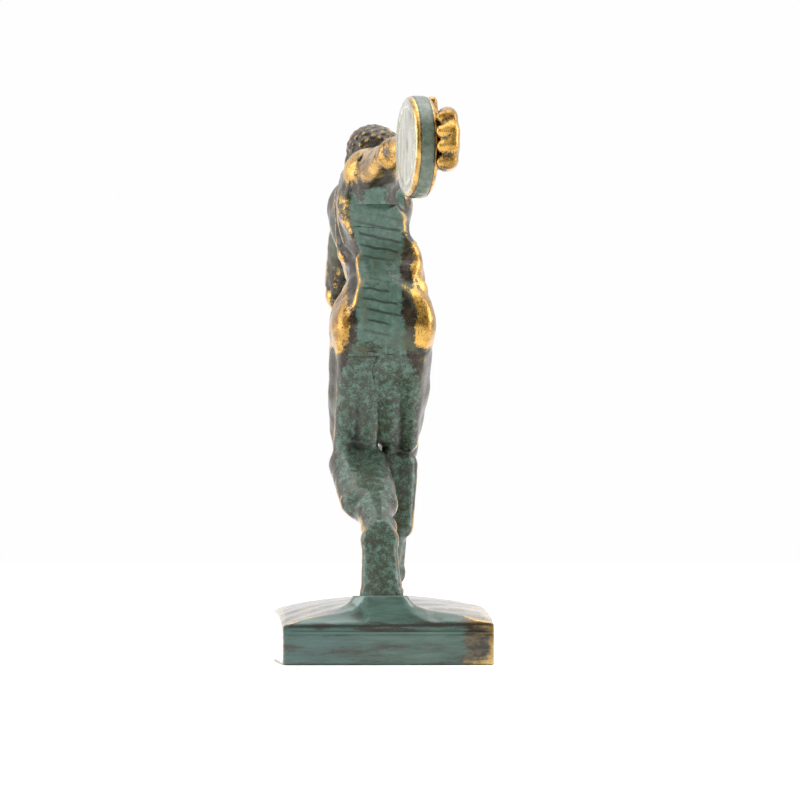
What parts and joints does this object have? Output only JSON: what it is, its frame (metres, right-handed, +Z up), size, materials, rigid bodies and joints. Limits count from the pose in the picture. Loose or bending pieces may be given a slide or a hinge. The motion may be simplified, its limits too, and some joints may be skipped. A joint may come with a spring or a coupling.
{
  "type": "bronze statuette",
  "caption": "Small cast bronze statuette of a discus thrower on a low domed plinth, green patina with rubbed gold high points, pinned from separate castings.",
  "frame": {"origin": "centre of the plinth's underside", "axes": "+Z up; the figure's chest faces -Y; the discus is carried out toward -X; the trailing left foot stands at the plinth's -X end"},
  "size_m": [0.0868, 0.0446, 0.1188],
  "materials": {
    "patinated_bronze": "green and brown-black patina with rubbed gold high points",
    "brass_pin": "drawn rod",
    "plain_steel": "plain machined"
  },
  "bodies": {
    "root": {"base_plinth": "patinated_bronze", "pelvis": "patinated_bronze", "chest": "patinated_bronze", "head": "patinated_bronze", "right_arm": "patinated_bronze", "discus": "patinated_bronze", "left_arm": "patinated_bronze", "right_leg": "patinated_bronze", "left_leg": "patinated_bronze", "waist_dowel": "brass_pin", "neck_dowel": "brass_pin", "right_shoulder_dowel": "brass_pin", "left_shoulder_dowel": "brass_pin", "right_hip_dowel": "brass_pin", "left_hip_dowel": "brass_pin", "discus_pin": "brass_pin", "right_foot_stud": "plain_steel", "left_foot_stud": "plain_steel", "right_foot_washer": "plain_steel", "left_foot_washer": "plain_steel", "right_foot_nut": "plain_steel", "left_foot_nut": "plain_steel"}
  },
  "joints": []
}
